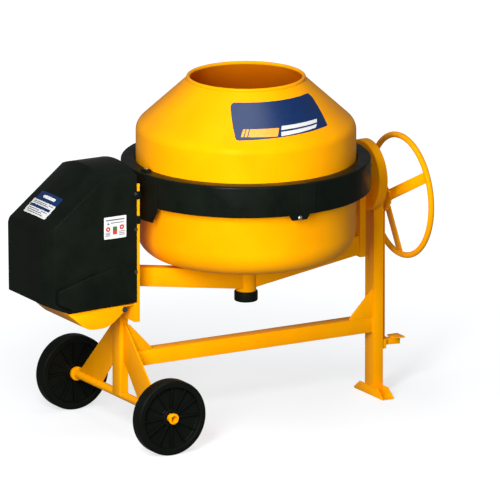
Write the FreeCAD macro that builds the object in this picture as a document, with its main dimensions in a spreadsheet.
import FreeCAD, Part
import math
import os
import re

import Sketcher
from fcgear import fcgear, involute

Vector = FreeCAD.Vector

# A 400 litre tilting drum concrete mixer on two road wheels and one leg, in millimetres.
# The drum's axis is upright. +X points from the motor to the handwheel, the wheels' axle runs
# along Y, and the ground is at Z = 0. Lengths along X are measured from the drum's axis, and
# every piece is then moved along X so that the machine's box is centred on the origin.
SIZES = (
    ("drum_radius", 455, "outside of the drum's straight wall"),
    ("drum_wall", 3, "sheet steel of the drum"),
    ("drum_bottom", 684, "height of the underside of the drum's floor"),
    ("seam_height", 1018, "height of the joint between bowl and cone"),
    ("seam_width", 26, "how far the two seam flanges stand out"),
    ("bowl_bend", 110, "radius between the floor and the wall"),
    ("shoulder_height", 1236, "height where wall and cone lines meet"),
    ("shoulder_bend", 60, "radius between the wall and the cone"),
    ("mouth_radius", 240, "top of the cone, at its outside"),
    ("mouth_height", 1432, "height of the top of the cone"),
    ("mouth_bead", 8, "radius of the rolled rim of the mouth"),
    ("paddle_reach", 95, "how far a mixing paddle stands into the drum"),
    ("paddle_wall", 6, "thickness of a mixing paddle"),
    ("paddle_count", 3, "number of mixing paddles"),
    ("ring_teeth", 144, "teeth of the ring gear"),
    ("pinion_teeth", 12, "teeth of the pinion that drives the ring gear"),
    ("ring_pitch", 483, "radius of the ring gear's pitch circle"),
    ("ring_tooth", 34, "length of the ring gear's teeth, along the radius"),
    ("spindle_radius", 15, "spindle on which the drum turns"),
    ("hub_flange", 110, "radius of the plate under the drum's floor"),
    ("hub_radius", 42.5, "outside of the hub tube"),
    ("hub_bore", 31, "inside of the hub tube, where the bearings sit"),
    ("hub_top", 666, "height of the top of the hub tube"),
    ("hub_proud", 10, "how far the hub tube stands out below the yoke beams"),
    ("cap_radius", 49, "outside of the hub cap"),
    ("cap_depth", 43, "height of the hub cap"),
    ("tilt_height", 945, "height of the axis on which the yoke tilts"),
    ("arm_inside", 522, "inner face of a yoke arm, from the drum's axis"),
    ("arm_depth", 27, "yoke arm along X"),
    ("arm_width", 75, "yoke arm along Y"),
    ("arm_top", 1005, "height of the top of a yoke arm"),
    ("yoke_tall", 80, "height of a yoke beam's section"),
    ("yoke_wide", 60, "width of a yoke beam's section"),
    ("yoke_rise", 80, "how far a yoke beam rises from the hub to its arm"),
    ("yoke_top", 614, "height of a yoke beam's top at the drum's axis"),
    ("yoke_wall", 4, "wall of the yoke's tubes"),
    ("guard_radius", 517, "outside of the ring gear's guard"),
    ("guard_wall", 4, "moulded wall of the ring gear's guard"),
    ("guard_low", 961, "height of the guard's lower edge"),
    ("guard_high", 1094, "height of the guard's upper edge"),
    ("guard_gap", 5, "gap between the guard's upper flange and the drum"),
    ("guard_bend", 9, "rounding of the guard's corners"),
    ("strap_width", 80, "joint strap of the guard halves, along the rim"),
    ("strap_wall", 3, "thickness of a joint strap"),
    ("strap_tab", 18, "how far a strap hangs below the guard"),
    ("strap_top", 16, "how far a strap ends below the guard's upper edge"),
    ("box_angle", 32, "angle that the pinion box takes of the rim"),
    ("box_wall", 3, "wall of the pinion box"),
    ("box_low", 900, "height of the pinion box's lower edge"),
    ("trunnion_radius", 30, "left trunnion tube, through which the drive comes"),
    ("trunnion_bore", 21, "inside of the trunnion tube"),
    ("drive_radius", 12.5, "shaft of the drive pinion"),
    ("tilt_shaft_radius", 20, "right tilt shaft"),
    ("tilt_teeth", 56, "teeth of the gear on the tilt shaft"),
    ("hand_teeth", 16, "teeth of the handwheel's pinion"),
    ("tilt_module", 3, "module of the two tilt gears"),
    ("tilt_play", 0.6, "how much each tilt gear is cut below full size"),
    ("tilt_face", 18, "width of the tilt gear"),
    ("tilt_guard", 150, "radius of the tilt gear's guard"),
    ("tilt_guard_wall", 2.5, "sheet steel of the tilt gear's guard"),
    ("leg_x", 611, "middle of the rear leg, from the drum's axis"),
    ("leg_depth", 44, "rear leg along X"),
    ("leg_width", 75, "rear leg along Y"),
    ("leg_wall", 3, "wall of the rear leg"),
    ("leg_top", 992, "height of the top of the rear leg"),
    ("foot_length", 240, "foot plate along Y"),
    ("foot_wall", 5, "thickness of the foot plate"),
    ("foot_tall", 40, "height of the foot plate's wings"),
    ("beam_tall", 64, "main beam's height"),
    ("beam_wide", 60, "main beam's width"),
    ("beam_wall", 3, "main beam's wall"),
    ("beam_low", 273, "height of the main beam's underside"),
    ("gusset_side", 112, "length of a gusset's straight sides"),
    ("gusset_wall", 5, "thickness of a gusset"),
    ("wheel_x", 594, "wheels' axle, from the drum's axis towards the motor"),
    ("wheel_radius", 158, "road wheel"),
    ("wheel_inside", 380, "inner face of a road wheel, from the middle plane"),
    ("wheel_width", 64, "width of a road wheel"),
    ("wheel_ribs", 12, "ribs on each face of a road wheel"),
    ("axle_radius", 17, "outside of the axle tube"),
    ("axle_wall", 3, "wall of the axle tube"),
    ("collar_radius", 29, "collars against which the wheels run"),
    ("axle_ring", 22.5, "end rings that hold the wheels on"),
    ("post_depth", 40, "front post along X"),
    ("post_width", 62, "front post along Y"),
    ("post_top", 596, "height of the top of the front post"),
    ("brace_wall", 6, "thickness of an axle brace"),
    ("plate_x", 614, "back plate's inner face, from the drum's axis"),
    ("plate_wall", 4, "thickness of the back plate"),
    ("plate_fold", 24, "depth of the back plate's folded sides"),
    ("plate_low", 505, "height of the back plate's lower edge"),
    ("plate_high", 1090, "height of the back plate's upper edge"),
    ("cover_back", 610, "open edge of the motor cover, from the drum's axis"),
    ("cover_ridge", 769, "where the cover's top ends and its slope begins"),
    ("cover_reach", 1030, "outer end of the motor cover"),
    ("cover_half", 172, "half of the motor cover's width"),
    ("cover_top", 1126, "height of the cover's top at its sides"),
    ("cover_crown", 34, "how much the cover's top rises in its middle"),
    ("cover_slope_end", 930, "height of the lower end of the slope"),
    ("cover_low", 590, "height of the cover's lower edge"),
    ("near_cut_long", 40, "cut corner of the cover on the near side, along X"),
    ("near_cut_wide", 70, "cut corner of the cover on the near side, along Y"),
    ("far_cut", 14, "cut corner of the cover on the far side"),
    ("cover_wall", 4, "moulded wall of the cover"),
    ("pan_inner", 655, "pan's edge towards the drum"),
    ("pan_outer", 922, "pan's outer edge"),
    ("pan_top", 577, "height of the pan's rim"),
    ("pan_depth", 80, "depth of the pan"),
    ("pan_half", 165, "half of the pan's width"),
    ("pan_wall", 3, "sheet steel of the pan"),
    ("motor_plate_wall", 5, "thickness of the plate under the motor"),
    ("motor_foot", 25, "length of each foot of the motor"),
    ("pan_step", 14, "height of the pan's inner corner"),
    ("pan_lip", 6, "height of the pan's outer corner"),
    ("screw_low", 720, "height of the lowest cover screws"),
    ("screw_middle", 900, "height of the middle cover screws"),
    ("screw_high", 1050, "height of the highest cover screws"),
    ("motor_height", 682, "height of the motor's shaft"),
    ("motor_radius", 72, "motor's body under its fins"),
    ("motor_fin", 8, "height of the motor's fins"),
    ("motor_length", 190, "motor's body"),
    ("motor_end", 925, "outer end of the motor, from the drum's axis"),
    ("motor_shaft_radius", 9.5, "motor's shaft"),
    ("pulley_x", 672, "middle of the belt, from the drum's axis"),
    ("pulley_radius", 140, "belt's running radius on the large pulley"),
    ("motor_pulley_radius", 28, "belt's running radius on the motor's pulley"),
    ("pulley_width", 24, "width of both pulleys"),
    ("belt_width", 13, "width of the belt"),
    ("belt_depth", 8, "thickness of the belt"),
    ("belt_play", 0.5, "clearance round the belt in its groove"),
    ("hand_height", 837, "height of the handwheel's axis"),
    ("hand_hub", 664, "middle of the handwheel's hub, from the drum's axis"),
    ("hoop_x", 737.5, "plane of the handwheel's hoop"),
    ("hoop_radius", 252.5, "handwheel's hoop, at the middle of its tube"),
    ("hoop_tube", 12.5, "radius of the hoop's tube"),
    ("hand_shaft_radius", 12.5, "handwheel's shaft"),
    ("spoke_width", 45, "width of a spoke"),
    ("spoke_wall", 6, "thickness of a spoke"),
    ("spoke_count", 3, "number of spokes"),
    ("disc_radius", 58, "lock disc on the handwheel"),
    ("disc_notches", 16, "notches in the lock disc"),
    ("disc_x", 654, "lock disc's inner face, from the drum's axis"),
    ("disc_wall", 6, "thickness of the lock disc and of the pull rod"),
    ("rod_width", 12, "width of the pull rod"),
    ("rod_low", 204, "height of the pull rod's lower end"),
    ("lock_gap", 0.6, "gap between the pull rod's tip and the lock disc"),
    ("pedal_height", 216, "height of the pedal's pivot"),
    ("pedal_x", 642, "pedal's pivot, from the drum's axis"),
    ("pedal_reach", 733, "end of the pedal, from the drum's axis"),
    ("pedal_slot", 38, "how far the pedal's slot for the pull rod reaches"),
    ("spring_length", 98, "length of the return spring"),
    ("spring_radius", 6, "outside of the return spring"),
    ("spring_start", 36.5, "height of the spring's lower end over the pedal"),
    ("pedal_tall", 30, "height of the pedal's arm"),
    ("pedal_wall", 8, "thickness of one cheek of the pedal's arm"),
    ("pin_radius", 4, "pivot pin of the pedal"),
    ("pin_play", 0.05, "clearance round a pin or shaft in its bore"),
    ("switch_height", 820, "height of the switch box on the cover's far side"),
    ("switch_wide", 64, "switch box along X"),
    ("switch_tall", 90, "height of the switch box"),
    ("switch_deep", 28, "how far the switch box stands off the cover"),
    ("rocker_wide", 24, "width of the switch's rocker"),
    ("inlet_drop", 90, "how far the cable inlet lies under the switch"),
    ("inlet_length", 24, "how far the cable inlet stands off the cover"),
    ("inlet_radius", 11, "outside of the cable inlet"),
    ("inlet_bore", 5, "bore of the cable inlet, for the supply cable"),
    ("switch_x", 700, "middle of the switch box, from the drum's axis"),
)

document = FreeCAD.newDocument("concrete_mixer")
sheet = document.addObject("Spreadsheet::Sheet", "sizes")
for row, (alias, value, note) in enumerate(SIZES, start=1):
    sheet.set(f"A{row}", note)
    sheet.set(f"B{row}", str(value))
    sheet.setAlias(f"B{row}", alias)
document.recompute()

# The machine's box reaches from the cover's end to the hoop's outer face.
CENTRING = "(cover_reach - hoop_x - hoop_tube) / 2"
nodes = []


def number(text):
    """The value of a formula in the sheet's names."""
    return float(sheet.evalExpression(text))


def formula(text):
    """The same formula as another object has to write it."""
    return re.sub(r"\b[a-z]+(?:_[a-z]+)+\b", lambda word: "sizes." + word[0], text)


def minus(text):
    return f"-({text})"


def place(piece, height="0", along="0", across="0"):
    """Puts a piece at its height, and moves it with the whole machine along X."""
    piece.setExpression("Placement.Base.x", formula(f"{CENTRING} + {along}"))
    piece.setExpression("Placement.Base.y", formula(f"0 + {across}"))
    piece.setExpression("Placement.Base.z", formula(f"0 + {height}"))


def new_body(label, height="0", along="0", across="0"):
    """A body that becomes one node of the part."""
    body = document.addObject("PartDesign::Body", label)
    body.Label = label
    place(body, height, along, across)
    nodes.append(body)
    return body


def origin_feature(body, role):
    return next(item for item in body.Origin.OriginFeatures if item.Role == role)


def sketch(body, role, lift="0"):
    """A sketch on one of the body's own planes, lifted along that plane's normal."""
    drawing = body.newObject("Sketcher::SketchObject", body.Label + "_sketch")
    drawing.AttachmentSupport = [(origin_feature(body, role), "")]
    drawing.MapMode = "FlatFace"
    drawing.setExpression("AttachmentOffset.Base.z", formula(f"0 + {lift}"))
    return drawing


def fix(drawing, kind, geometry, point, text, label):
    """One coordinate of a point, bound to a formula."""
    constraint = Sketcher.Constraint(kind, -1, 1, geometry, point, number(text))
    index = drawing.addConstraint(constraint)
    drawing.renameConstraint(index, label)
    drawing.setExpression("Constraints." + label, formula(f"0 + {text}"))


def outline(drawing, corners):
    """A closed outline through corners (x, y) or, where it is rounded, (x, y, radius)."""
    first = drawing.GeometryCount
    points = [Vector(number(corner[0]), number(corner[1]), 0) for corner in corners]
    count = len(points)
    for index in range(count):
        drawing.addGeometry(Part.LineSegment(points[index], points[(index + 1) % count]), False)
    for index in range(count):
        following = first + (index + 1) % count
        drawing.addConstraint(Sketcher.Constraint("Coincident", first + index, 2, following, 1))
    for index, corner in enumerate(corners):
        fix(drawing, "DistanceX", first + index, 1, corner[0], f"x_{first + index}")
        fix(drawing, "DistanceY", first + index, 1, corner[1], f"y_{first + index}")
    for index, corner in enumerate(corners):
        if len(corner) == 3:
            before = (index - 1) % count
            here = points[index]
            back = here + (points[before] - here) * 0.3
            ahead = here + (points[(index + 1) % count] - here) * 0.3
            radius = number(corner[2])
            drawing.fillet(first + before, first + index, back, ahead, radius, True, True)
            arc = max(
                place_in_list
                for place_in_list, item in enumerate(drawing.Geometry)
                if isinstance(item, Part.ArcOfCircle)
            )
            label = f"bend_{first + index}"
            constraint = drawing.addConstraint(Sketcher.Constraint("Radius", arc, radius))
            drawing.renameConstraint(constraint, label)
            drawing.setExpression("Constraints." + label, formula(f"0 + {corner[2]}"))


def circle(drawing, x, y, radius):
    """A circle whose centre and radius are formulas."""
    index = drawing.GeometryCount
    middle = Vector(number(x), number(y), 0)
    drawing.addGeometry(Part.Circle(middle, Vector(0, 0, 1), number(radius)), False)
    fix(drawing, "DistanceX", index, 3, x, f"x_{index}")
    fix(drawing, "DistanceY", index, 3, y, f"y_{index}")
    constraint = drawing.addConstraint(Sketcher.Constraint("Radius", index, number(radius)))
    drawing.renameConstraint(constraint, f"radius_{index}")
    drawing.setExpression(f"Constraints.radius_{index}", formula(f"0 + {radius}"))


def rectangle(drawing, left, low, right, high):
    outline(drawing, [(left, low), (right, low), (right, high), (left, high)])


def pad(body, drawing, length, both_ways=False, reverse=False):
    feature = body.newObject("PartDesign::Pad", body.Label + "_pad")
    feature.Profile = drawing
    feature.setExpression("Length", formula(f"0 + {length}"))
    feature.SideType = "Symmetric" if both_ways else "One side"
    feature.Reversed = reverse
    return feature


def pocket(body, drawing, length, both_ways=True, reverse=False):
    """Cuts a sketch out of its body, and stops if it cuts nothing."""
    document.recompute()
    before = body.Shape.Volume
    feature = body.newObject("PartDesign::Pocket", body.Label + "_pocket")
    feature.Profile = drawing
    feature.setExpression("Length", formula(f"0 + {length}"))
    feature.SideType = "Symmetric" if both_ways else "One side"
    feature.Reversed = reverse
    document.recompute()
    if not body.Shape.Volume < before:
        raise ValueError(f"a pocket of {body.Label} cuts nothing")
    return feature


def revolve(body, drawing, axis, angle="360", both_ways=False):
    feature = body.newObject("PartDesign::Revolution", body.Label + "_revolution")
    feature.Profile = drawing
    feature.ReferenceAxis = (drawing, [axis])
    feature.setExpression("Angle", formula(f"0 + {angle}"))
    feature.Midplane = both_ways
    return feature


def repeat_round(body, feature, role, count):
    """Repeats one feature of a body around one of its own axes."""
    pattern = body.newObject("PartDesign::PolarPattern", body.Label + "_pattern")
    pattern.Originals = [feature]
    pattern.Axis = (origin_feature(body, role), [""])
    pattern.setExpression("Occurrences", formula(f"0 + {count}"))
    body.Tip = pattern
    return pattern


def turned(label, role, corners, height="0", along="0", across="0"):
    """A round piece: its section beside the axis, with the axis along the sketch's first line.

    On XZ_Plane that axis is X, and on YZ_Plane it is Y. A section is (along, radius).
    """
    body = new_body(label, height, along, across)
    drawing = sketch(body, role)
    outline(drawing, corners)
    revolve(body, drawing, "H_Axis")
    return body


def upright(label, corners, height="0"):
    """A round piece with an upright axis: its section is (radius, height)."""
    body = new_body(label, height)
    drawing = sketch(body, "XZ_Plane")
    outline(drawing, corners)
    revolve(body, drawing, "V_Axis")
    return body


def sleeve(start, end, inner, outer):
    """Section of a plain tube that runs from start to end."""
    return [(start, inner), (end, inner), (end, outer), (start, outer)]


def fixed_shape(label, shape, height="0"):
    """A node whose shape is worked out in this file, from the sheet's sizes."""
    feature = document.addObject("Part::Feature", label)
    feature.Label = label
    feature.Shape = Part.makeCompound([shape])
    place(feature, height)
    nodes.append(feature)
    return feature


# Drum -------------------------------------------------------------------------------------------

inner_radius = "(drum_radius - drum_wall)"
flange_radius = "(drum_radius + seam_width)"

# The bowl is pressed from sheet: floor, wall and an outward flange at the seam.
upright(
    "drum_bowl",
    [
        ("spindle_radius", "drum_bottom"),
        ("drum_radius", "drum_bottom", "bowl_bend"),
        ("drum_radius", "seam_height - drum_wall"),
        (flange_radius, "seam_height - drum_wall"),
        (flange_radius, "seam_height"),
        (inner_radius, "seam_height"),
        (inner_radius, "drum_bottom + drum_wall", "bowl_bend - drum_wall"),
        ("spindle_radius", "drum_bottom + drum_wall"),
    ],
)

# The cone stands on the same seam, and its mouth is rolled outwards round a wire.
upright(
    "drum_cone",
    [
        (inner_radius, "seam_height"),
        (flange_radius, "seam_height"),
        (flange_radius, "seam_height + drum_wall"),
        ("drum_radius", "seam_height + drum_wall"),
        ("drum_radius", "shoulder_height", "shoulder_bend"),
        ("mouth_radius", "mouth_height - mouth_bead"),
        ("mouth_radius + mouth_bead", "mouth_height - mouth_bead", "mouth_bead * 0.7"),
        ("mouth_radius + mouth_bead", "mouth_height + mouth_bead", "mouth_bead * 0.7"),
        ("mouth_radius - drum_wall * 1.4", "mouth_height + mouth_bead", "mouth_bead * 0.7"),
        ("mouth_radius - drum_wall * 1.4", "mouth_height - mouth_bead"),
        (inner_radius, "shoulder_height - drum_wall * 0.4", "shoulder_bend - drum_wall"),
    ],
)

# The ring gear hangs under the seam, with its teeth pointing down.
pitch_height = "(tilt_height + ring_pitch / ring_teeth * pinion_teeth)"
tooth_module = "(2 * ring_pitch / ring_teeth)"
ring_gear = new_body("ring_gear")
ring_section = sketch(ring_gear, "XZ_Plane")
rectangle(
    ring_section,
    "drum_radius + 1",
    f"{pitch_height} + {tooth_module} * 1.15",
    "ring_pitch + ring_tooth / 2",
    "seam_height - drum_wall",
)
revolve(ring_gear, ring_section, "V_Axis")
tooth = sketch(ring_gear, "YZ_Plane", "ring_pitch - ring_tooth / 2")
tooth_root = f"{pitch_height} + {tooth_module} * 1.2"
tooth_tip = f"{pitch_height} - {tooth_module} * 0.8"
outline(
    tooth,
    [
        (f"-{tooth_module} * 0.98", tooth_root),
        (f"-{tooth_module} * 0.38", tooth_tip),
        (f"{tooth_module} * 0.38", tooth_tip),
        (f"{tooth_module} * 0.98", tooth_root),
    ],
)
first_tooth = pad(ring_gear, tooth, "ring_tooth")
repeat_round(ring_gear, first_tooth, "Z_Axis", "ring_teeth")
# Half a tooth's turn puts a gap over the pinion's upper tooth.
ring_gear.Placement = FreeCAD.Placement(Vector(0, 0, 0), FreeCAD.Rotation(Vector(0, 0, 1), 1))
ring_gear.setExpression("Placement.Rotation.Angle", formula("180 / ring_teeth"))
place(ring_gear)

# The spindle is welded to a round plate under the drum's floor.
upright(
    "drum_spindle",
    [
        ("0", "(yoke_top - yoke_tall - hub_proud) + 4"),
        ("spindle_radius", "(yoke_top - yoke_tall - hub_proud) + 4"),
        ("spindle_radius", "hub_top + 6"),
        ("hub_flange", "hub_top + 6"),
        ("hub_flange", "drum_bottom"),
        ("spindle_radius", "drum_bottom"),
        ("spindle_radius", "drum_bottom + drum_wall + 8"),
        ("0", "drum_bottom + drum_wall + 8"),
    ],
)

# Three paddles stand inwards from the wall, and follow it from the floor to the cone.
paddles = new_body("mixing_paddles")
paddles.AllowCompound = True
paddle = sketch(paddles, "XZ_Plane")
wall_line = "(drum_radius - drum_wall - 1)"
outline(
    paddle,
    [
        (f"{wall_line} - bowl_bend - paddle_reach", "drum_bottom + drum_wall + 12"),
        (f"{wall_line} - bowl_bend", "drum_bottom + drum_wall + 12"),
        (wall_line, "drum_bottom + drum_wall + bowl_bend + 4", "bowl_bend * 0.5"),
        (wall_line, "shoulder_height - shoulder_bend"),
        (f"{wall_line} - paddle_reach * 0.6", "shoulder_height + 20"),
        (f"{wall_line} - paddle_reach", "shoulder_height - shoulder_bend", "30"),
        (f"{wall_line} - paddle_reach", "drum_bottom + bowl_bend * 1.6", "60"),
    ],
)
first_paddle = pad(paddles, paddle, "paddle_wall", both_ways=True)
repeat_round(paddles, first_paddle, "Z_Axis", "paddle_count")


def hex_head(reach, head):
    """The head of a bolt, standing on Z = 0. Its reach is from the middle to a corner."""
    corners = [
        Vector(reach * math.cos(math.radians(60 * k)), reach * math.sin(math.radians(60 * k)), 0)
        for k in range(7)
    ]
    return Part.Face(Part.makePolygon(corners)).extrude(Vector(0, 0, head))


def round_group(shape, radius, angles, height):
    """Copies of a shape on a circle round the drum's axis."""
    copies = []
    for angle in angles:
        copy = shape.copy()
        copy.translate(Vector(radius, 0, height))
        copy.rotate(Vector(0, 0, 0), Vector(0, 0, 1), angle)
        copies.append(copy)
    return Part.makeCompound(copies)


# Bolts clamp the cone's flange, the bowl's flange and the ring gear together.
seam_top = number("seam_height + drum_wall")
fixed_shape(
    "seam_bolts",
    round_group(
        hex_head(7, 5),
        number("drum_radius + seam_width / 2"),
        [15 * k for k in range(24)],
        seam_top,
    ),
)

# Yoke -------------------------------------------------------------------------------------------

arm_outside = "(arm_inside + arm_depth)"

# Each beam is a box section that rises from the hub tube to its arm.
for side, sign in (("left", "-1"), ("right", "1")):
    beam = new_body("yoke_beam_" + side)
    section = sketch(beam, "XZ_Plane")
    outline(
        section,
        [
            ("0", "(yoke_top - yoke_tall)"),
            (f"{sign} * arm_inside", "(yoke_top - yoke_tall) + yoke_rise"),
            (f"{sign} * arm_inside", "(yoke_top - yoke_tall) + yoke_rise + yoke_tall"),
            ("0", "(yoke_top - yoke_tall) + yoke_tall"),
        ],
    )
    pad(beam, section, "yoke_wide", both_ways=True)
    hollow = sketch(beam, "XZ_Plane")
    outline(
        hollow,
        [
            ("0", "(yoke_top - yoke_tall) + yoke_wall"),
            (f"{sign} * arm_inside", "(yoke_top - yoke_tall) + yoke_rise + yoke_wall"),
            (f"{sign} * arm_inside", "(yoke_top - yoke_tall) + yoke_rise + yoke_tall - yoke_wall"),
            ("0", "(yoke_top - yoke_tall) + yoke_tall - yoke_wall"),
        ],
    )
    pocket(beam, hollow, "yoke_wide - 2 * yoke_wall")
    round_end = sketch(beam, "XY_Plane", "((yoke_top - yoke_tall) + yoke_tall / 2)")
    circle(round_end, "0", "0", "hub_radius")
    pocket(beam, round_end, "3 * yoke_tall")

# Each arm is a box section that stands outside the ring guard, and carries its tilt pivot.
for side, sign, pivot in (("left", "-1", "trunnion_radius"), ("right", "1", "tilt_shaft_radius")):
    arm = new_body("yoke_arm_" + side)
    section = sketch(arm, "XY_Plane", "(yoke_top - yoke_tall) + yoke_rise - 10")
    rectangle(section, f"{sign} * arm_inside", "-arm_width / 2", f"{sign} * {arm_outside}", "arm_width / 2")
    rectangle(
        section,
        f"{sign} * (arm_inside + yoke_wall)",
        "-arm_width / 2 + yoke_wall",
        f"{sign} * ({arm_outside} - yoke_wall)",
        "arm_width / 2 - yoke_wall",
    )
    pad(arm, section, "arm_top - (yoke_top - yoke_tall) - yoke_rise + 10")
    hole = sketch(arm, "YZ_Plane", f"{sign} * arm_inside")
    circle(hole, "0", "tilt_height", pivot)
    pocket(arm, hole, "3 * arm_depth")

# The hub tube holds the drum's spindle in two bearings, and a cap keeps dirt out from below.
upright("hub_tube", [
    ("hub_bore", "(yoke_top - yoke_tall - hub_proud)"),
    ("hub_radius", "(yoke_top - yoke_tall - hub_proud)"),
    ("hub_radius", "hub_top"),
    ("hub_bore", "hub_top"),
])
bearings = []
for bottom in ("(yoke_top - yoke_tall - hub_proud) + 10", "hub_top - 30"):
    outer = Part.makeCylinder(number("hub_bore"), 20, Vector(0, 0, number(bottom)))
    inner = Part.makeCylinder(number("spindle_radius + pin_play"), 20, Vector(0, 0, number(bottom)))
    bearings.append(outer.cut(inner))
fixed_shape("hub_bearings", Part.makeCompound(bearings))
upright("hub_cap", [
    ("0", "(yoke_top - yoke_tall - hub_proud) - cap_depth"),
    ("cap_radius", "(yoke_top - yoke_tall - hub_proud) - cap_depth", "6"),
    ("cap_radius", "(yoke_top - yoke_tall - hub_proud)"),
    ("hub_bore", "(yoke_top - yoke_tall - hub_proud)"),
    ("hub_bore", "(yoke_top - yoke_tall - hub_proud) - cap_depth + 6"),
    ("0", "(yoke_top - yoke_tall - hub_proud) - cap_depth + 6"),
])

# The left trunnion is a tube, because the drive shaft runs through it.
turned(
    "trunnion_tube",
    "XZ_Plane",
    sleeve("-plate_x - 2", "-arm_inside", "trunnion_bore", "trunnion_radius"),
    "tilt_height",
)
drive_bearings = []
for start in ("-plate_x - 2", "-arm_inside - 15"):
    outer = Part.makeCylinder(number("trunnion_bore"), 15, Vector(number(start), 0, 0), Vector(1, 0, 0))
    inner = Part.makeCylinder(
        number("drive_radius + pin_play"), 15, Vector(number(start), 0, 0), Vector(1, 0, 0)
    )
    drive_bearings.append(outer.cut(inner))
fixed_shape("pinion_bearings", Part.makeCompound(drive_bearings), "tilt_height")

# The right tilt shaft is solid, and ends past the leg.
leg_inside = "(leg_x - leg_depth / 2)"
leg_outside = "(leg_x + leg_depth / 2)"
gear_start = f"({leg_inside} - 10 - tilt_face)"
turned(
    "tilt_shaft",
    "XZ_Plane",
    [
        ("arm_inside", "0"),
        (f"{leg_outside} + 12", "0"),
        (f"{leg_outside} + 12", "tilt_shaft_radius"),
        ("arm_inside", "tilt_shaft_radius"),
    ],
    "tilt_height",
)


def gear_shape(teeth, bore, start, width, turn=0):
    """A spur gear on the X axis, thinned a little so that its teeth run with play."""
    builder = fcgear.FCWireBuilder()
    involute.CreateExternalGear(builder, number("tilt_module"), int(teeth), 20.0, True)
    rim = Part.Wire([curve.toShape() for curve in builder.wire])
    rim.rotate(Vector(0, 0, 0), Vector(0, 0, 1), turn)
    reach = number("tilt_module") * (teeth / 2 + 1)
    rim.scale((reach - number("tilt_play")) / reach)
    gear = Part.Face(rim).extrude(Vector(0, 0, width))
    gear = gear.cut(Part.makeCylinder(bore, width))
    gear.rotate(Vector(0, 0, 0), Vector(0, 1, 0), 90)
    gear.translate(Vector(start, 0, 0))
    return gear


fixed_shape(
    "tilt_gear",
    gear_shape(
        number("tilt_teeth"), number("tilt_shaft_radius"), number(gear_start), number("tilt_face")
    ),
    "tilt_height",
)

# The ring guard is moulded in two halves, each a channel that opens towards the drum.
guard_lip = "(guard_radius - guard_wall - 10)"
guard_section = [
    (guard_lip, "guard_low"),
    ("guard_radius", "guard_low", "guard_bend"),
    ("guard_radius", "guard_high", "guard_bend"),
    ("drum_radius + guard_gap", "guard_high"),
    ("drum_radius + guard_gap", "guard_high - guard_wall"),
    ("guard_radius - guard_wall", "guard_high - guard_wall", "guard_bend - guard_wall"),
    ("guard_radius - guard_wall", "guard_low + guard_wall", "guard_bend - guard_wall"),
    (guard_lip, "guard_low + guard_wall"),
]
for side, turn in (("left", 180), ("right", 0)):
    half = new_body("ring_guard_" + side)
    section = sketch(half, "XZ_Plane")
    outline(section, guard_section)
    revolve(half, section, "V_Axis", "179.9", both_ways=True)
    if side == "left":
        # The pinion reaches into this half from below.
        window = sketch(half, "XZ_Plane")
        rectangle(window, "guard_radius - 60", "guard_low - 5", "guard_radius + 5", "guard_low + 45")
        pocket(half, window, "130")
    half.Placement = FreeCAD.Placement(Vector(0, 0, 0), FreeCAD.Rotation(Vector(0, 0, 1), turn))
    place(half)

# A strap covers each of the two joints of the guard, and a tab below it takes the bolt.
straps = new_body("guard_straps")
straps.AllowCompound = True
section = sketch(straps, "YZ_Plane")
outline(section, [
    ("guard_radius", "guard_low - strap_tab"),
    ("guard_radius + strap_wall", "guard_low - strap_tab"),
    ("guard_radius + strap_wall", "guard_high - strap_top"),
    ("guard_radius", "guard_high - strap_top"),
])
first_strap = revolve(straps, section, "V_Axis", "strap_width / guard_radius * 57.3", both_ways=True)
repeat_round(straps, first_strap, "Z_Axis", "2")
tab_bolt = hex_head(8, 6)
tab_bolt.rotate(Vector(0, 0, 0), Vector(0, 1, 0), 90)
fixed_shape(
    "guard_bolts",
    round_group(tab_bolt, number("guard_radius + strap_wall"), (87, 267), number("guard_low - 8")),
)

# The pinion box closes the left half over the drive pinion. Its lower corners are cut away.
pinion_box = new_body("pinion_box")
section = sketch(pinion_box, "XZ_Plane")
rectangle(section, "-guard_radius - box_wall", "box_low", "-guard_radius - 0.2", "guard_high - guard_bend")
revolve(pinion_box, section, "V_Axis", "box_angle", both_ways=True)
box_half = "(guard_radius * box_angle / 115)"
corner_cut = sketch(pinion_box, "YZ_Plane", "-guard_radius")
for sign in ("-1", "1"):
    outline(corner_cut, [
        (f"{sign} * {box_half} * 0.8", "box_low - 1"),
        (f"{sign} * {box_half} * 1.1", "box_low - 1"),
        (f"{sign} * {box_half} * 1.1", "guard_low - 5"),
        (f"{sign} * {box_half}", "guard_low - 5"),
    ])
pocket(pinion_box, corner_cut, "200")
hole = sketch(pinion_box, "YZ_Plane", "-guard_radius")
circle(hole, "0", "tilt_height", "trunnion_radius + 3")
pocket(pinion_box, hole, "60")

# Drive ------------------------------------------------------------------------------------------

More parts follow.
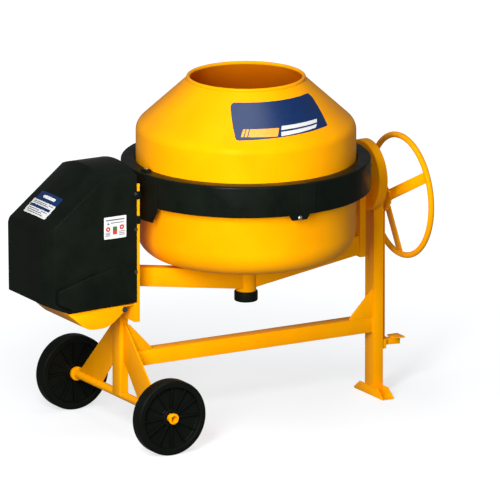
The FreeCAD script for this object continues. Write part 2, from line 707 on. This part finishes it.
# The pinion shaft runs through the trunnion tube, on the axis on which the yoke tilts.
pinion_half = "(ring_tooth / 2)"
turned(
    "pinion_shaft",
    "XZ_Plane",
    [
        ("-pulley_x - pulley_width / 2 - 10", "0"),
        (f"-ring_pitch + {pinion_half}", "0"),
        (f"-ring_pitch + {pinion_half}", "drive_radius"),
        ("-pulley_x - pulley_width / 2 - 10", "drive_radius"),
    ],
    "tilt_height",
)
pinion_pitch = "(ring_pitch / ring_teeth * pinion_teeth)"
bevel_pinion = new_body("bevel_pinion", "tilt_height")
core = sketch(bevel_pinion, "YZ_Plane", f"-ring_pitch - {pinion_half}")
circle(core, "0", "0", f"{pinion_pitch} - {tooth_module} * 1.15")
circle(core, "0", "0", "drive_radius")
pad(bevel_pinion, core, "ring_tooth - 2")
pinion_tooth = sketch(bevel_pinion, "YZ_Plane", f"-ring_pitch - {pinion_half}")
outline(pinion_tooth, [
    (f"-{tooth_module} * 0.62", f"{pinion_pitch} - {tooth_module} * 1.25"),
    (f"{tooth_module} * 0.62", f"{pinion_pitch} - {tooth_module} * 1.25"),
    (f"{tooth_module} * 0.5", pinion_pitch),
    (f"{tooth_module} * 0.25", f"{pinion_pitch} + {tooth_module} * 0.7"),
    (f"-{tooth_module} * 0.25", f"{pinion_pitch} + {tooth_module} * 0.7"),
    (f"-{tooth_module} * 0.5", pinion_pitch),
])
first_tooth = pad(bevel_pinion, pinion_tooth, "ring_tooth - 2")
repeat_round(bevel_pinion, first_tooth, "X_Axis", "pinion_teeth")


def pulley(label, running, bore, height):
    """A belt pulley with one groove; the belt runs in it with a named play."""
    rim = f"({running} + belt_depth * 0.6)"
    root = f"({running} - belt_depth / 2 - belt_play)"
    groove = "(belt_width / 2 + belt_play)"
    return turned(
        label,
        "XZ_Plane",
        [
            ("-pulley_x - pulley_width / 2", bore),
            ("-pulley_x + pulley_width / 2", bore),
            ("-pulley_x + pulley_width / 2", rim),
            (f"-pulley_x + {groove}", rim),
            (f"-pulley_x + {groove}", root),
            (f"-pulley_x - {groove}", root),
            (f"-pulley_x - {groove}", rim),
            ("-pulley_x - pulley_width / 2", rim),
        ],
        height,
    )


pulley("drive_pulley", "pulley_radius", "drive_radius", "tilt_height")
pulley("motor_pulley", "motor_pulley_radius", "motor_shaft_radius", "motor_height")
motor_start = "(motor_end - motor_length)"
turned(
    "motor_shaft",
    "XZ_Plane",
    [
        ("-motor_end + 12", "0"),
        ("-pulley_x + pulley_width / 2 + 4", "0"),
        ("-pulley_x + pulley_width / 2 + 4", "motor_shaft_radius"),
        (f"-{motor_start} - 20", "motor_shaft_radius"),
        (f"-{motor_start} - 20", "motor_radius * 0.6"),
        ("-motor_end + 40", "motor_radius * 0.6"),
        ("-motor_end + 40", "motor_shaft_radius"),
        ("-motor_end + 12", "motor_shaft_radius"),
    ],
    "motor_height",
)

# The motor's housing is a closed finned can round its rotor.
motor_housing = new_body("motor_housing", "motor_height")
section = sketch(motor_housing, "XZ_Plane")
shaft_hole = "(motor_shaft_radius + pin_play)"
outline(section, [
    ("-motor_end", "0"),
    ("-motor_end", "motor_radius", "10"),
    (f"-{motor_start}", "motor_radius", "10"),
    (f"-{motor_start}", shaft_hole),
    (f"-{motor_start} - 14", shaft_hole),
    (f"-{motor_start} - 14", "motor_radius * 0.6 + 1"),
    ("-motor_end + 34", "motor_radius * 0.6 + 1"),
    ("-motor_end + 34", shaft_hole),
    ("-motor_end + 10", shaft_hole),
    ("-motor_end + 10", "0"),
])
revolve(motor_housing, section, "H_Axis")
fin = sketch(motor_housing, "YZ_Plane", "-motor_end + 14")
rectangle(fin, "-1.5", "motor_radius - 4", "1.5", "motor_radius + motor_fin")
first_fin = pad(motor_housing, fin, "motor_length - 28")
repeat_round(motor_housing, first_fin, "X_Axis", "30")


def belt_side(large, small, drop):
    """Outline of an open belt round two circles, the large one above, in the YZ plane."""
    slant = math.asin((large - small) / drop)
    far = Vector(0, math.cos(slant), -math.sin(slant))
    near = Vector(0, -math.cos(slant), -math.sin(slant))
    low = Vector(0, 0, -drop)
    edges = [
        Part.Arc(near * large, Vector(0, 0, large), far * large).toShape(),
        Part.LineSegment(far * large, low + far * small).toShape(),
        Part.Arc(low + far * small, low + Vector(0, 0, -small), low + near * small).toShape(),
        Part.LineSegment(low + near * small, near * large).toShape(),
    ]
    return Part.Face(Part.Wire(edges))


belt_half = number("belt_depth / 2")
shaft_drop = number("tilt_height - motor_height")
large, small = number("pulley_radius"), number("motor_pulley_radius")
belt = belt_side(large + belt_half, small + belt_half, shaft_drop)
belt = belt.cut(belt_side(large - belt_half, small - belt_half, shaft_drop))
belt = belt.extrude(Vector(number("belt_width"), 0, 0))
belt.translate(Vector(number("-pulley_x - belt_width / 2"), 0, 0))
fixed_shape("drive_belt", belt, "tilt_height")

# Rear leg and handwheel -------------------------------------------------------------------------

rear_leg = new_body("rear_leg", along="leg_x")
section = sketch(rear_leg, "XY_Plane", "foot_wall")
rectangle(section, "-leg_depth / 2", "-leg_width / 2", "leg_depth / 2", "leg_width / 2")
rectangle(
    section,
    "-leg_depth / 2 + leg_wall",
    "-leg_width / 2 + leg_wall",
    "leg_depth / 2 - leg_wall",
    "leg_width / 2 - leg_wall",
)
pad(rear_leg, section, "leg_top - foot_wall")
holes = sketch(rear_leg, "YZ_Plane")
circle(holes, "0", "tilt_height", "tilt_shaft_radius + 8")
circle(holes, "0", "hand_height", "hand_shaft_radius + 5")
pocket(rear_leg, holes, "2 * leg_depth")

# The foot is folded from plate: a sole, and two wings that hold the leg.
foot_plate = new_body("foot_plate", along="leg_x")
half_foot = "(leg_depth / 2 + foot_wall)"
sole = sketch(foot_plate, "XY_Plane")
rectangle(sole, f"-{half_foot}", "-foot_length / 2", half_foot, "foot_length / 2")
pad(foot_plate, sole, "foot_wall")
for lift in (f"-{half_foot}", "leg_depth / 2"):
    wing = sketch(foot_plate, "YZ_Plane", lift)
    outline(wing, [
        ("-foot_length / 2", "foot_wall / 2"),
        ("foot_length / 2", "foot_wall / 2"),
        ("foot_length / 2", "foot_wall + 2"),
        ("leg_width", "foot_tall"),
        ("-leg_width", "foot_tall"),
        ("-foot_length / 2", "foot_wall + 2"),
    ])
    pad(foot_plate, wing, "foot_wall")

# The tilt shaft and the handwheel's shaft run in two plain bushes across the leg.
turned(
    "tilt_bearing",
    "XZ_Plane",
    sleeve(leg_inside, leg_outside, "tilt_shaft_radius + pin_play", "tilt_shaft_radius + 8"),
    "tilt_height",
)
turned(
    "handwheel_bush",
    "XZ_Plane",
    sleeve(
        leg_inside, f"{leg_outside} + 4", "hand_shaft_radius + pin_play", "hand_shaft_radius + 5"
    ),
    "hand_height",
)

# A round pressed cup covers the two tilt gears, and is open towards the leg.
turned(
    "gear_guard",
    "XZ_Plane",
    [
        (f"{arm_outside} + 2", "tilt_shaft_radius + 4"),
        (f"{arm_outside} + 2", "tilt_guard", "8"),
        (leg_inside, "tilt_guard"),
        (leg_inside, "tilt_guard - tilt_guard_wall"),
        (f"{arm_outside} + 2 + tilt_guard_wall", "tilt_guard - tilt_guard_wall", "6"),
        (f"{arm_outside} + 2 + tilt_guard_wall", "tilt_shaft_radius + 4"),
    ],
    "tilt_height",
)

turned(
    "handwheel_shaft",
    "XZ_Plane",
    [
        (gear_start, "0"),
        ("hand_hub + 24", "0"),
        ("hand_hub + 24", "hand_shaft_radius"),
        (gear_start, "hand_shaft_radius"),
    ],
    "hand_height",
)
fixed_shape(
    "tilt_pinion",
    gear_shape(
        number("hand_teeth"),
        number("hand_shaft_radius"),
        number(gear_start),
        number("tilt_face"),
        180 / number("hand_teeth"),
    ),
    "hand_height",
)

# The lock disc has notches in its rim, which the pull rod's tip locks.
lock_disc = new_body("lock_disc", "hand_height")
section = sketch(lock_disc, "YZ_Plane", "disc_x")
circle(section, "0", "0", "disc_radius")
circle(section, "0", "0", "hand_shaft_radius")
pad(lock_disc, section, "disc_wall")
notch = sketch(lock_disc, "YZ_Plane", "disc_x")
rectangle(notch, "-rod_width / 2 * 0.8", "disc_radius - 6", "rod_width / 2 * 0.8", "disc_radius + 2")
first_notch = pocket(lock_disc, notch, "4 * disc_wall")
repeat_round(lock_disc, first_notch, "X_Axis", "disc_notches")

# Three flat spokes run from a turned hub out to the hoop's plane.
spokes = document.addObject("PartDesign::Body", "spoke_star")
place(spokes, "hand_height")
hub = sketch(spokes, "XZ_Plane")
outline(hub, [
    ("disc_x + disc_wall", "hand_shaft_radius"),
    ("hand_hub + 20", "hand_shaft_radius"),
    ("hand_hub + 20", "24", "4"),
    ("disc_x + disc_wall", "24"),
])
revolve(spokes, hub, "H_Axis")
spoke = sketch(spokes, "XZ_Plane")
outline(spoke, [
    ("hand_hub + 2", "-20"),
    ("hand_hub + 2 + spoke_wall", "-20"),
    ("hoop_x + spoke_wall / 2", "-hoop_radius"),
    ("hoop_x - spoke_wall / 2", "-hoop_radius"),
])
first_spoke = pad(spokes, spoke, "spoke_width", both_ways=True)
repeat_round(spokes, first_spoke, "X_Axis", "spoke_count")

hoop = document.addObject("Part::Torus", "handwheel_hoop")
hoop.Label = "handwheel_hoop"
hoop.setExpression("Radius1", formula("0 + hoop_radius"))
hoop.setExpression("Radius2", formula("0 + hoop_tube"))
hoop.Placement = FreeCAD.Placement(Vector(0, 0, 0), FreeCAD.Rotation(Vector(0, 1, 0), 90))
place(hoop, "hand_height", "hoop_x")
nodes.append(hoop)
# The spokes' ends are cut to fit round the hoop's tube, to which they are welded.
fitted_spokes = document.addObject("Part::Cut", "handwheel_spokes")
fitted_spokes.Label = "handwheel_spokes"
fitted_spokes.Base = spokes
fitted_spokes.Tool = hoop
nodes.append(fitted_spokes)

# Pedal and lock ---------------------------------------------------------------------------------

pedal_bracket = new_body("pedal_bracket", "pedal_height")
ears = sketch(pedal_bracket, "XZ_Plane")
rectangle(ears, leg_outside, "-20", "pedal_x + 10", "20")
pad(pedal_bracket, ears, "leg_width - 12", both_ways=True)
gap = sketch(pedal_bracket, "XZ_Plane")
rectangle(gap, f"{leg_outside} - 5", "-40", "pedal_x + 20", "40")
pocket(pedal_bracket, gap, "leg_width - 24")
pin = sketch(pedal_bracket, "XZ_Plane")
circle(pin, "pedal_x", "0", "pin_radius")
pad(pedal_bracket, pin, "leg_width - 12", both_ways=True)

pedal = new_body("lock_pedal", "pedal_height")
arm = sketch(pedal, "XZ_Plane")
outline(arm, [
    ("pedal_x - 6", "-8"),
    ("pedal_reach - 6", "-pedal_tall / 2 + 2"),
    ("pedal_reach - 6", "pedal_tall / 2 + 2"),
    ("pedal_x - 6", "12"),
])
pad(pedal, arm, "rod_width + 2 * pedal_wall + 4", both_ways=True)
slot = sketch(pedal, "XZ_Plane")
rectangle(slot, "pedal_x - 20", "-40", "pedal_x + pedal_slot", "40")
pocket(pedal, slot, "rod_width + 4")
bore = sketch(pedal, "XZ_Plane")
circle(bore, "pedal_x", "0", "pin_radius + pin_play")
pocket(pedal, bore, "2 * leg_width")
tread = sketch(pedal, "XZ_Plane")
rectangle(tread, "pedal_reach - 40", "pedal_tall / 2", "pedal_reach + 8", "pedal_tall / 2 + 5")
pad(pedal, tread, "64", both_ways=True)
cross_pin = sketch(pedal, "XZ_Plane")
circle(cross_pin, "disc_x + disc_wall / 2 + 8", "0", "3")
pad(pedal, cross_pin, "rod_width + 2 * pedal_wall", both_ways=True)

# The pull rod is a flat bar from the pedal's cross pin up to the lock disc.
pull_rod = new_body("pull_rod")
bar = sketch(pull_rod, "XZ_Plane")
rod_top = "(hand_height - disc_radius - lock_gap)"
outline(bar, [
    ("disc_x", "rod_low"),
    ("disc_x + disc_wall + 14", "rod_low"),
    ("disc_x + disc_wall + 14", "pedal_height + 18"),
    ("disc_x + disc_wall", "pedal_height + 26"),
    ("disc_x + disc_wall", rod_top),
    ("disc_x", rod_top),
])
pad(pull_rod, bar, "rod_width", both_ways=True)
eye = sketch(pull_rod, "XZ_Plane")
rectangle(
    eye,
    "disc_x + disc_wall / 2 + 3.5",
    "pedal_height - 4",
    "disc_x + disc_wall / 2 + 12.5",
    "pedal_height + 4",
)
pocket(pull_rod, eye, "2 * rod_width")
ear = sketch(pull_rod, "YZ_Plane", "disc_x")
rectangle(ear, "0", "pedal_height + 30", "rod_width / 2 + 14", "pedal_height + 36")
pad(pull_rod, ear, "disc_wall")

# The return spring hangs from a stud on the leg and pulls the rod up by its ear.
coil = Part.makeCylinder(number("spring_radius"), number("spring_length - 0.5"))
coil.translate(Vector(number("disc_x + disc_wall / 2"), number("rod_width / 2 + 7.5"), 0))
stud = Part.makeBox(number("disc_x + disc_wall + 4 - leg_x - leg_depth / 2"), 8, 5)
stud.translate(Vector(number(leg_outside), number("rod_width / 2 + 3.5"), number("spring_length - 1")))
fixed_shape("return_spring", coil.fuse(stud).removeSplitter(), "pedal_height + spring_start")

# Main beam, front post, axle and wheels ---------------------------------------------------------

main_beam = new_body("main_beam")
section = sketch(main_beam, "YZ_Plane", "-wheel_x + post_depth / 2")
rectangle(section, "-beam_wide / 2", "beam_low", "beam_wide / 2", "beam_low + beam_tall")
rectangle(
    section,
    "-beam_wide / 2 + beam_wall",
    "beam_low + beam_wall",
    "beam_wide / 2 - beam_wall",
    "beam_low + beam_tall - beam_wall",
)
pad(main_beam, section, f"{leg_inside} + wheel_x - post_depth / 2")
beam_top = "(beam_low + beam_tall)"
gussets = new_body("beam_gussets")
gussets.AllowCompound = True
for corner, sign in (("(-wheel_x + post_depth / 2)", "1"), (leg_inside, "-1")):
    triangle = sketch(gussets, "XZ_Plane", "beam_wide / 2 - gusset_wall")
    outline(triangle, [
        (corner, beam_top),
        (f"{corner} + {sign} * gusset_side", beam_top),
        (f"{corner} + {sign} * gusset_side", f"{beam_top} + 10"),
        (f"{corner} + {sign} * 8", f"{beam_top} + gusset_side + 8"),
        (corner, f"{beam_top} + gusset_side + 8"),
    ])
    pad(gussets, triangle, "gusset_wall")

front_post = new_body("front_post", along="-wheel_x")
section = sketch(front_post, "XY_Plane", "wheel_radius")
rectangle(section, "-post_depth / 2", "-post_width / 2", "post_depth / 2", "post_width / 2")
rectangle(
    section,
    "-post_depth / 2 + beam_wall",
    "-post_width / 2 + beam_wall",
    "post_depth / 2 - beam_wall",
    "post_width / 2 - beam_wall",
)
pad(front_post, section, "post_top - wheel_radius")
seat = sketch(front_post, "XZ_Plane")
circle(seat, "0", "wheel_radius", "axle_radius")
pocket(front_post, seat, "2 * post_width")

braces = new_body("axle_braces", along="-wheel_x")
braces.AllowCompound = True
for sign in ("-1", "1"):
    flat = sketch(braces, "YZ_Plane", "-brace_wall / 2")
    outline(flat, [
        (f"{sign} * post_width / 2", "wheel_radius + 153"),
        (f"{sign} * (post_width / 2 + 134)", "wheel_radius"),
        (f"{sign} * (post_width / 2 + 332)", "wheel_radius"),
        (f"{sign} * post_width / 2", "wheel_radius + 320"),
    ])
    pad(braces, flat, "brace_wall")
seat = sketch(braces, "XZ_Plane")
circle(seat, "0", "wheel_radius", "axle_radius")
pocket(braces, seat, "2 * wheel_inside")

axle_end = "(wheel_inside + wheel_width + 14)"
collar = "(wheel_inside - 1)"
turned(
    "axle_tube",
    "YZ_Plane",
    [
        (f"-{axle_end}", "axle_radius - axle_wall"),
        (axle_end, "axle_radius - axle_wall"),
        (axle_end, "axle_radius"),
        (collar, "axle_radius"),
        (collar, "collar_radius"),
        (f"{collar} - 12", "collar_radius"),
        (f"{collar} - 12", "axle_radius"),
        (f"-{collar} + 12", "axle_radius"),
        (f"-{collar} + 12", "collar_radius"),
        (f"-{collar}", "collar_radius"),
        (f"-{collar}", "axle_radius"),
        (f"-{axle_end}", "axle_radius"),
    ],
    "wheel_radius",
    "-wheel_x",
)
rings = []
for side in (-1, 1):
    start = number("wheel_inside + wheel_width + 1")
    ring = Part.makeCylinder(number("axle_ring"), 9, Vector(0, side * start, 0), Vector(0, side, 0))
    hole = Part.makeCylinder(number("axle_radius"), 9, Vector(0, side * start, 0), Vector(0, side, 0))
    rings.append(ring.cut(hole))
axle_rings = fixed_shape("axle_rings", Part.makeCompound(rings))
place(axle_rings, "wheel_radius", "-wheel_x")

# A road wheel is one moulding: tread, web and hub, with ribs on both faces of the web.
for side, sign in (("near", -1), ("far", 1)):
    wheel = new_body("wheel_" + side, "wheel_radius", "-wheel_x")
    section = sketch(wheel, "YZ_Plane")
    inside, outside = f"{sign} * wheel_inside", f"{sign} * (wheel_inside + wheel_width)"
    step = f"{sign} * 16"
    outline(section, [
        (inside, "axle_radius + pin_play"),
        (outside, "axle_radius + pin_play"),
        (outside, "axle_radius + 14"),
        (f"{outside} - {step}", "axle_radius + 16"),
        (f"{outside} - {step}", "wheel_radius - 30"),
        (f"{outside} - {sign} * 4", "wheel_radius - 24", "4"),
        (outside, "wheel_radius - 12", "6"),
        (f"{outside} - {sign} * 6", "wheel_radius", "10"),
        (f"{inside} + {sign} * 6", "wheel_radius", "10"),
        (inside, "wheel_radius - 12", "6"),
        (f"{inside} + {sign} * 4", "wheel_radius - 24", "4"),
        (f"{inside} + {step}", "wheel_radius - 30"),
        (f"{inside} + {step}", "axle_radius + 16"),
        (inside, "axle_radius + 14"),
    ])
    revolve(wheel, section, "H_Axis")
    rib = sketch(wheel, "YZ_Plane", "-1.5")
    rectangle(
        rib,
        f"{inside} + {sign} * 6",
        "axle_radius + 10",
        f"{outside} - {sign} * 6",
        "wheel_radius - 24",
    )
    first_rib = pad(wheel, rib, "3")
    repeat_round(wheel, first_rib, "Y_Axis", "wheel_ribs")

# Motor pan, back plate and cover ----------------------------------------------------------------

pan = new_body("motor_pan")


def pan_outline(drawing, inset, lift):
    outline(drawing, [
        (f"-pan_inner - {inset}", f"pan_top + {lift}"),
        (f"-pan_inner - {inset}", "pan_top - pan_step"),
        (f"-pan_inner - 84 - {inset} / 3", f"pan_top - pan_depth + {inset}", "96"),
        (f"-pan_outer + 84 + {inset} / 3", f"pan_top - pan_depth + {inset}", "96"),
        (f"-pan_outer + {inset}", "pan_top - pan_lip"),
        (f"-pan_outer + {inset}", f"pan_top + {lift}"),
    ])


section = sketch(pan, "XZ_Plane")
pan_outline(section, "0", "0")
pad(pan, section, "2 * pan_half", both_ways=True)
hollow = sketch(pan, "XZ_Plane")
pan_outline(hollow, "pan_wall", "1")
pocket(pan, hollow, "2 * (pan_half - pan_wall)")

back_plate = new_body("back_plate")
section = sketch(back_plate, "XY_Plane", "plate_low")
plate_half = "(cover_half - cover_wall - 0.5)"
outline(section, [
    ("-plate_x - plate_wall", minus(plate_half)),
    ("-plate_x - plate_wall + plate_fold", minus(plate_half)),
    ("-plate_x - plate_wall + plate_fold", f"-{plate_half} + plate_wall"),
    ("-plate_x", f"-{plate_half} + plate_wall"),
    ("-plate_x", f"{plate_half} - plate_wall"),
    ("-plate_x - plate_wall + plate_fold", f"{plate_half} - plate_wall"),
    ("-plate_x - plate_wall + plate_fold", plate_half),
    ("-plate_x - plate_wall", plate_half),
])
pad(back_plate, section, "plate_high - plate_low")
hole = sketch(back_plate, "YZ_Plane", "-plate_x")
circle(hole, "0", "tilt_height", "trunnion_radius + 4")
pocket(back_plate, hole, "4 * plate_wall")

turned(
    "left_bearing",
    "XZ_Plane",
    [
        ("-plate_x", "trunnion_radius + pin_play"),
        ("-plate_x + 34", "trunnion_radius + pin_play"),
        ("-plate_x + 34", "trunnion_radius + 9"),
        ("-plate_x + 8", "trunnion_radius + 12"),
        ("-plate_x + 8", "trunnion_radius + 34"),
        ("-plate_x", "trunnion_radius + 34"),
    ],
    "tilt_height",
)

motor_plate = new_body("motor_plate")
section = sketch(motor_plate, "XY_Plane", "pan_top")
rectangle(section, "-pan_outer", "-pan_half", "-plate_x - plate_wall", "pan_half")
pad(motor_plate, section, "motor_plate_wall")
for start in (f"-{motor_start} - 50", "-motor_end + 25"):
    foot = sketch(motor_plate, "YZ_Plane", start)
    rectangle(
        foot,
        "-motor_radius * 0.7",
        "pan_top + motor_plate_wall",
        "motor_radius * 0.7",
        "motor_height - motor_radius * 0.8",
    )
    pad(motor_plate, foot, "motor_foot")
cradle = sketch(motor_plate, "YZ_Plane", f"-{motor_start}")
circle(cradle, "0", "motor_height", "motor_radius + motor_fin")
pocket(motor_plate, cradle, "2 * motor_length")


def cover_solid(label, inset):
    """The motor cover's outer form, or the same form with its walls taken off."""
    body = document.addObject("PartDesign::Body", label)
    sections = []
    half = f"(cover_half - {inset})"
    for lift, crown in ((minus(half), "0"), ("0", "cover_crown"), (half, "0")):
        side = sketch(body, "XZ_Plane", lift)
        top = f"cover_top + {crown} - {inset}"
        outline(side, [
            (f"-cover_back + {inset} * 2", f"cover_low + {inset} - {inset} * 4"),
            (f"-cover_reach + 105", f"cover_low - 10 + {inset} - {inset} * 4"),
            (f"-cover_reach + 6 + {inset}", f"cover_low + 30 + {inset} - {inset} * 4"),
            (f"-cover_reach + {inset}", f"cover_slope_end - 22 - {inset} * 0.4"),
            (f"-cover_reach + 14 + {inset}", f"cover_slope_end + {crown} * 0.3 - {inset} * 0.4"),
            (f"-cover_ridge + {inset} * 0.4", top),
            (f"-cover_back + {inset} * 2", top),
        ])
        sections.append(side)
    loft = body.newObject("PartDesign::AdditiveLoft", label + "_loft")
    loft.Profile = sections[0]
    loft.Sections = sections[1:]
    corners = sketch(body, "XY_Plane")
    for sign, along, across in (("-1", "near_cut_long", "near_cut_wide"), ("1", "far_cut", "far_cut")):
        outline(corners, [
            ("-cover_reach - 5", f"{sign} * (cover_half - {across} - {inset} * 0.6)"),
            (f"-cover_reach + {along} + {inset} * 0.6", f"{sign} * (cover_half + 5)"),
            ("-cover_reach - 5", f"{sign} * (cover_half + 5)"),
        ])
    pocket(body, corners, "4 * cover_top")
    return body


outer = cover_solid("cover_outside", "0")
inner = cover_solid("cover_inside", "cover_wall")
motor_cover = document.addObject("Part::Cut", "motor_cover")
motor_cover.Label = "motor_cover"
motor_cover.Base = outer
motor_cover.Tool = inner
place(motor_cover)
nodes.append(motor_cover)

screws = []
for side in (-1, 1):
    for level in ("screw_low", "screw_middle", "screw_high"):
        screw = hex_head(6, 4)
        screw.rotate(Vector(0, 0, 0), Vector(1, 0, 0), -90 * side)
        across = side * number("cover_half")
        screw.translate(Vector(number("-plate_x - plate_wall / 2 + 1"), across, number(level)))
        screws.append(screw)
fixed_shape("cover_screws", Part.makeCompound(screws))

# The switch box and the cable inlet are on the cover's far side.
switch_box = new_body("switch_box", "switch_height", "-switch_x", "cover_half")
section = sketch(switch_box, "XZ_Plane", "-switch_deep")
rectangle(section, "-switch_wide / 2", "-switch_tall / 2", "switch_wide / 2", "switch_tall / 2")
pad(switch_box, section, "switch_deep")
well = sketch(switch_box, "XZ_Plane", "-switch_deep - 2")
rectangle(well, "-rocker_wide / 2 - 1", "-20", "rocker_wide / 2 + 1", "20")
pocket(switch_box, well, "16", both_ways=False, reverse=True)
rocker = new_body("switch_rocker", "switch_height", "-switch_x", "cover_half + switch_deep - 6")
key = sketch(rocker, "YZ_Plane")
outline(key, [("-3", "-17"), ("9", "-17", "2"), ("5", "0"), ("9", "17", "2"), ("-3", "17")])
pad(rocker, key, "rocker_wide", both_ways=True)
rocker_pin = sketch(rocker, "YZ_Plane")
circle(rocker_pin, "0", "0", "2.5")
pad(rocker, rocker_pin, "rocker_wide + 1", both_ways=True)
turned(
    "cable_inlet",
    "YZ_Plane",
    sleeve("0", "inlet_length", "inlet_bore", "inlet_radius"),
    "switch_height - inlet_drop",
    "-switch_x",
    "cover_half",
)

document.recompute()
os.makedirs("parts", exist_ok=True)
problems = [item.Label for item in document.Objects if set(item.State) & {"Invalid", "Error"}]
problems += [node.Label for node in nodes if node.Shape.isNull() or not node.Shape.isValid()]
if problems:
    raise ValueError("these did not build: " + ", ".join(problems))
for node in nodes:
    node.Shape.exportStep(f"parts/{node.Label}.step")
    print(node.Label, len(node.Shape.Solids), round(node.Shape.Volume / 1000), "cm3")
print(len(nodes), "nodes")
